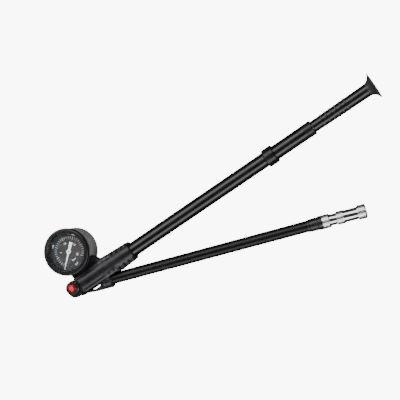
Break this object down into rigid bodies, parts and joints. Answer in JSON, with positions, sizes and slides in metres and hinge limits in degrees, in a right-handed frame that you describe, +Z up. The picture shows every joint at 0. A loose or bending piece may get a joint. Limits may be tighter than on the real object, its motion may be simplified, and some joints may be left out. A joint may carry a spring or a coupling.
{
  "type": "shock suspension pump",
  "caption": "Hand pump for bicycle air suspension: slim barrel with pull-out flared handle, dial gauge, bleed button and swinging hose with a threaded valve chuck.",
  "frame": {"origin": "centre of the footprint of the pump without its hose, on the surface that it lies on", "axes": "+X along the barrel from the hose pivot to the handle, +Y towards the gauge, +Z up out of the gauge's face"},
  "size_m": [0.3248, 0.1404, 0.0286],
  "materials": {
    "head_black": "fine-grained black moulding",
    "anodised_black": "satin black anodised",
    "handle_black": "semi-gloss black moulding",
    "gauge_grey": "satin dark grey paint",
    "bezel_black": "gloss black",
    "lens_clear": "clear",
    "dial_dark": "printed dark grey dial",
    "needle_white": "matt white paint",
    "brass": "turned",
    "steel": "ground steel",
    "chrome": "polished nickel chrome",
    "rubber_black": "nitrile rubber",
    "hose_black": "smooth black hose cover",
    "red_button": "gloss red",
    "white_plastic": "acetal"
  },
  "bodies": {
    "pump": {"head_body": "head_black", "barrel_tube": "anodised_black", "mid_collar": "handle_black", "barrel_gland": "handle_black", "rod_bush": "white_plastic", "rod_wiper": "rubber_black", "valve_seat": "brass", "valve_spring": "steel", "gauge_case": "gauge_grey", "gauge_bezel": "bezel_black", "gauge_lens": "lens_clear", "dial_plate": "dial_dark", "movement_plate": "brass", "bourdon_tube": "brass", "gauge_stem": "brass", "pivot_pin": "steel", "bleed_housing": "bezel_black", "bleed_rim": "chrome", "bleed_spring": "steel"},
    "valve_ball": {"valve_ball": "rubber_black"},
    "plunger": {"piston": "white_plastic", "piston_ring": "rubber_black"},
    "handle": {"piston_rod": "steel", "piston_nut": "steel", "handle_grip": "anodised_black", "handle_flare": "handle_black", "handle_screw": "steel"},
    "needle": {"needle": "needle_white", "needle_arbor": "brass"},
    "sector": {"sector_gear": "brass"},
    "bleed_button": {"bleed_button": "red_button", "bleed_pin": "steel"},
    "hose_arm": {"hose_arm": "head_black", "arm_seal_upper": "rubber_black", "arm_seal_lower": "rubber_black", "arm_sleeve": "head_black", "hose_barb": "brass", "hose": "hose_black", "hose_band": "hose_black", "hose_ferrule": "bezel_black", "chuck_body": "chrome", "depressor_spring": "steel"},
    "chuck_nut": {"chuck_nut": "chrome", "chuck_seal": "rubber_black"},
    "valve_depressor": {"valve_depressor": "brass"}
  },
  "joints": [
    {"name": "plunger_slide", "type": "slide", "parent": "pump", "child": "plunger", "axis": [1, 0, 0], "range_m": [0, 0.17]},
    {"name": "handle_turn", "type": "hinge", "parent": "plunger", "child": "handle", "pos_m": [-0.05602, -0.01658, 0.0118], "axis": [1, 0, 0], "continuous": true},
    {"name": "needle_turn", "type": "hinge", "parent": "pump", "child": "needle", "pos_m": [-0.14117, 0.01337, 0.0208], "axis": [0, 0, -1], "range_deg": [0, 270], "stiffness_Nm_per_rad": 0.000002},
    {"name": "sector_turn", "type": "hinge", "parent": "pump", "child": "sector", "pos_m": [-0.14117, 0.02247, 0.013], "axis": [0, 0, -1], "range_deg": [-34, 0]},
    {"name": "check_lift", "type": "slide", "parent": "pump", "child": "valve_ball", "axis": [-1, 0, 0], "range_m": [0, 0.001], "stiffness_N_per_m": 20, "deforming": ["valve_spring"]},
    {"name": "bleed_press", "type": "slide", "parent": "pump", "child": "bleed_button", "axis": [0, 0, -1], "range_m": [0, 0.001], "stiffness_N_per_m": 800, "springref_m": -0.001, "deforming": ["bleed_spring"]},
    {"name": "hose_swing", "type": "hinge", "parent": "pump", "child": "hose_arm", "pos_m": [-0.15563, -0.01608, 0.0118], "axis": [0, 0, -1], "range_deg": [0, 150]},
    {"name": "nut_turn", "type": "hinge", "parent": "hose_arm", "child": "chuck_nut", "pos_m": [0.08645, -0.09625, 0.0062], "axis": [0.9505, -0.3107, 0], "continuous": true},
    {"name": "depressor_push", "type": "slide", "parent": "hose_arm", "child": "valve_depressor", "axis": [-0.9505, 0.3107, 0], "range_m": [0, 0.0015], "stiffness_N_per_m": 300, "deforming": ["depressor_spring"]}
  ],
  "couplings": [
    {"joint": "sector_turn", "follows": "needle_turn", "ratio": -0.125}
  ]
}
